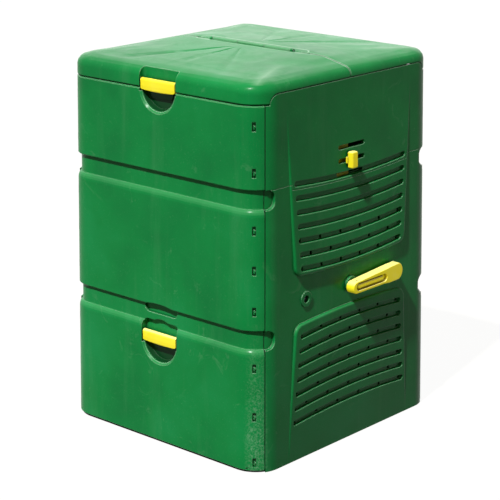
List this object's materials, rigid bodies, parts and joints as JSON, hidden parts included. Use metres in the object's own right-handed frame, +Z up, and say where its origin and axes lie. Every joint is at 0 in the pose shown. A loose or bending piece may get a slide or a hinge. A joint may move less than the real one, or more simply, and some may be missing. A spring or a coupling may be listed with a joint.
{
  "type": "compost bin",
  "caption": "Tall rounded-square compost bin with hinged lid wings, ground doors, vented sides, air slides and a lever-turned slatted floor.",
  "frame": {"origin": "on the ground under the middle of the square body", "axes": "+X to the side with the floor lever, -Y to the front with lid latch and door latch, +Z up"},
  "size_m": [0.8139, 0.8058, 1.122],
  "materials": {
    "shell_plastic": "satin moulded",
    "slat_plastic": "satin moulded",
    "yellow_plastic": "satin moulded",
    "bush_plastic": "dull",
    "steel": "zinc plated"
  },
  "bodies": {
    "shell": {"front_upper_panel": "shell_plastic", "rear_upper_panel": "shell_plastic", "front_middle_panel": "shell_plastic", "rear_middle_panel": "shell_plastic", "right_upper_side_panel": "shell_plastic", "left_upper_side_panel": "shell_plastic", "right_lower_side_panel": "shell_plastic", "left_lower_side_panel": "shell_plastic", "lid_bridge": "shell_plastic", "lid_hinge_rod": "steel", "bridge_screws": "steel", "base_frame": "shell_plastic", "front_door_hinge_pin": "steel", "rear_door_hinge_pin": "steel", "front_floor_ledge": "shell_plastic", "rear_floor_ledge": "shell_plastic", "right_shaft_bushes": "bush_plastic", "left_shaft_bushes": "bush_plastic"},
    "lid_front": {"lid_front_wing": "shell_plastic", "front_lid_latch_pin": "steel"},
    "lid_rear": {"lid_rear_wing": "shell_plastic", "rear_lid_latch_pin": "steel"},
    "lid_front_catch": {"front_lid_latch": "yellow_plastic"},
    "lid_rear_catch": {"rear_lid_latch": "yellow_plastic"},
    "door_front": {"front_door": "shell_plastic", "front_door_latch_pin": "steel"},
    "door_rear": {"rear_door": "shell_plastic", "rear_door_latch_pin": "steel"},
    "door_front_catch": {"front_door_latch": "yellow_plastic"},
    "door_rear_catch": {"rear_door_latch": "yellow_plastic"},
    "air_slide_right": {"right_air_plate": "yellow_plastic", "right_air_knob": "yellow_plastic"},
    "air_slide_left": {"left_air_plate": "yellow_plastic", "left_air_knob": "yellow_plastic"},
    "slat_front": {"front_slat": "slat_plastic", "front_shaft": "steel", "front_crank": "steel"},
    "slat_centre": {"centre_slat": "slat_plastic", "centre_shaft": "steel", "centre_crank": "steel", "lever": "yellow_plastic"},
    "slat_rear": {"rear_slat": "slat_plastic", "rear_shaft": "steel", "rear_crank": "steel"},
    "tie": {"tie_bar": "steel"}
  },
  "joints": [
    {"name": "front_lid_hinge", "type": "hinge", "parent": "shell", "child": "lid_front", "pos_m": [0, 0, 1.116], "axis": [-1, 0, 0], "range_deg": [0, 85]},
    {"name": "rear_lid_hinge", "type": "hinge", "parent": "shell", "child": "lid_rear", "pos_m": [0, 0, 1.116], "axis": [1, 0, 0], "range_deg": [0, 85]},
    {"name": "front_lid_catch_pivot", "type": "hinge", "parent": "lid_front", "child": "lid_front_catch", "pos_m": [0, -0.38164, 1.059], "axis": [-1, 0, 0], "range_deg": [0, 60]},
    {"name": "rear_lid_catch_pivot", "type": "hinge", "parent": "lid_rear", "child": "lid_rear_catch", "pos_m": [0, 0.38164, 1.059], "axis": [1, 0, 0], "range_deg": [0, 60]},
    {"name": "front_door_hinge", "type": "hinge", "parent": "shell", "child": "door_front", "pos_m": [0, -0.39485, 0.012], "axis": [1, 0, 0], "range_deg": [0, 88]},
    {"name": "rear_door_hinge", "type": "hinge", "parent": "shell", "child": "door_rear", "pos_m": [0, 0.39485, 0.012], "axis": [-1, 0, 0], "range_deg": [0, 88]},
    {"name": "front_door_catch_pivot", "type": "hinge", "parent": "door_front", "child": "door_front_catch", "pos_m": [0, -0.39099, 0.325], "axis": [-1, 0, 0], "range_deg": [0, 60]},
    {"name": "rear_door_catch_pivot", "type": "hinge", "parent": "door_rear", "child": "door_rear_catch", "pos_m": [0, 0.39099, 0.325], "axis": [1, 0, 0], "range_deg": [0, 60]},
    {"name": "right_air_slide", "type": "slide", "parent": "shell", "child": "air_slide_right", "axis": [0, 1, 0], "range_m": [-0.04, 0.06]},
    {"name": "left_air_slide", "type": "slide", "parent": "shell", "child": "air_slide_left", "axis": [0, -1, 0], "range_m": [-0.04, 0.06]},
    {"name": "lever_turn", "type": "hinge", "parent": "shell", "child": "slat_centre", "pos_m": [0, 0, 0.47], "axis": [1, 0, 0], "range_deg": [0, 90]},
    {"name": "front_slat_turn", "type": "hinge", "parent": "shell", "child": "slat_front", "pos_m": [0, -0.196, 0.47], "axis": [1, 0, 0], "range_deg": [0, 90]},
    {"name": "rear_slat_turn", "type": "hinge", "parent": "shell", "child": "slat_rear", "pos_m": [0, 0.196, 0.47], "axis": [1, 0, 0], "range_deg": [0, 90]},
    {"name": "tie_bar_pivot", "type": "hinge", "parent": "slat_centre", "child": "tie", "pos_m": [-0.354, -0.02828, 0.44172], "axis": [1, 0, 0], "range_deg": [-90, 0]}
  ],
  "couplings": [
    {"joint": "front_slat_turn", "follows": "lever_turn", "ratio": 1},
    {"joint": "rear_slat_turn", "follows": "lever_turn", "ratio": 1},
    {"joint": "tie_bar_pivot", "follows": "lever_turn", "ratio": -1}
  ]
}
